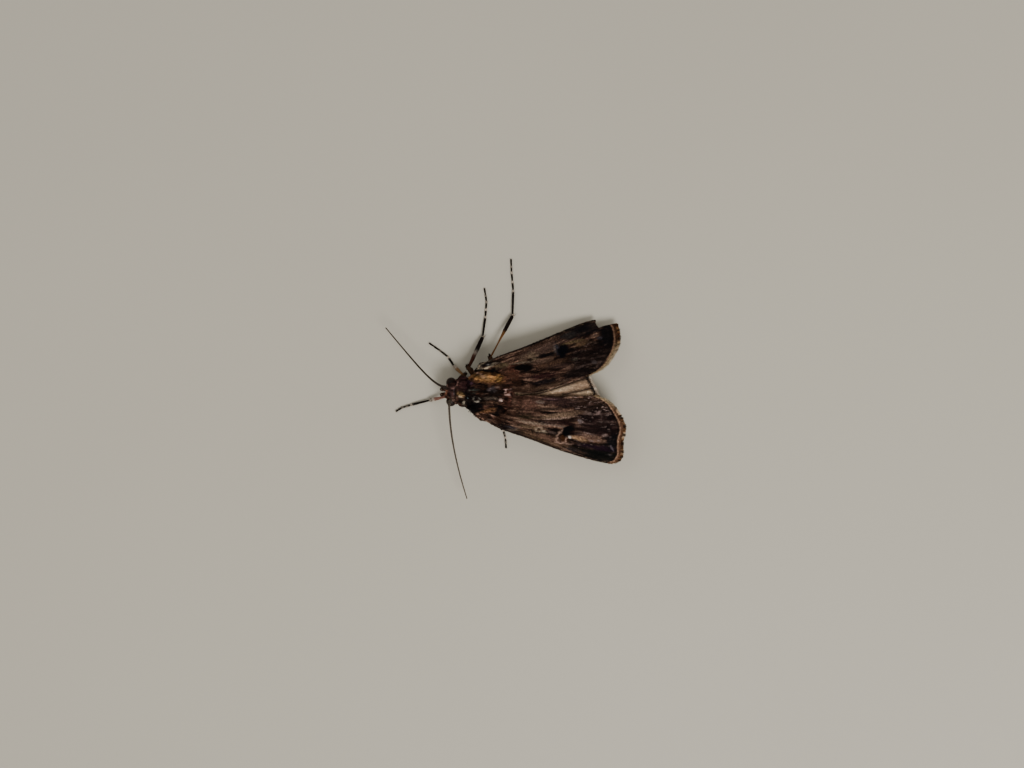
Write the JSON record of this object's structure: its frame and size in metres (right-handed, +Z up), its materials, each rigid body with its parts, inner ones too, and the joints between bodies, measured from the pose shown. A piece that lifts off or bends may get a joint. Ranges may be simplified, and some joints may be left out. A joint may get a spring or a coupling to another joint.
{
  "type": "moth",
  "caption": "Brown cutworm moth at rest with half-open streaked wings, threadlike feelers and banded legs, a still life-size model.",
  "frame": {"origin": "on the floor plane, below the middle of the whole animal's extents", "axes": "+Z up from the floor through the back; -Y ahead of the moth, along its body; +X to its left"},
  "size_m": [0.0366, 0.0365, 0.007],
  "materials": {
    "body_fur": "long matt hair scales, brown-black with grey and tan",
    "head_fur": "short matt hair scales, grey-brown with pinkish tan",
    "abdomen_fur": "flat grey-brown scales with a faint sheen",
    "forewing_scales": "dark brown overlapping scales, faintly satin",
    "hindwing_scales": "cream scales, satin, with dark veins",
    "leg_scales": "near-black scales with pale rings",
    "feeler": "grey-brown ringed cuticle",
    "eye": "dark glossy facets"
  },
  "bodies": {
    "root": {"abdomen": "abdomen_fur", "antenna_left": "feeler", "antenna_right": "feeler", "collar": "body_fur", "eye_left": "eye", "eye_right": "eye", "forewing_left": "forewing_scales", "forewing_right": "forewing_scales", "head": "head_fur", "hindwing_left": "hindwing_scales", "hindwing_right": "hindwing_scales", "leg_fore_left": "leg_scales", "leg_fore_right": "leg_scales", "leg_hind_left": "leg_scales", "leg_hind_right": "leg_scales", "leg_mid_left": "leg_scales", "leg_mid_right": "leg_scales", "palp_left": "head_fur", "palp_right": "head_fur", "tegula_left": "body_fur", "tegula_right": "body_fur", "thorax": "body_fur"}
  },
  "joints": []
}
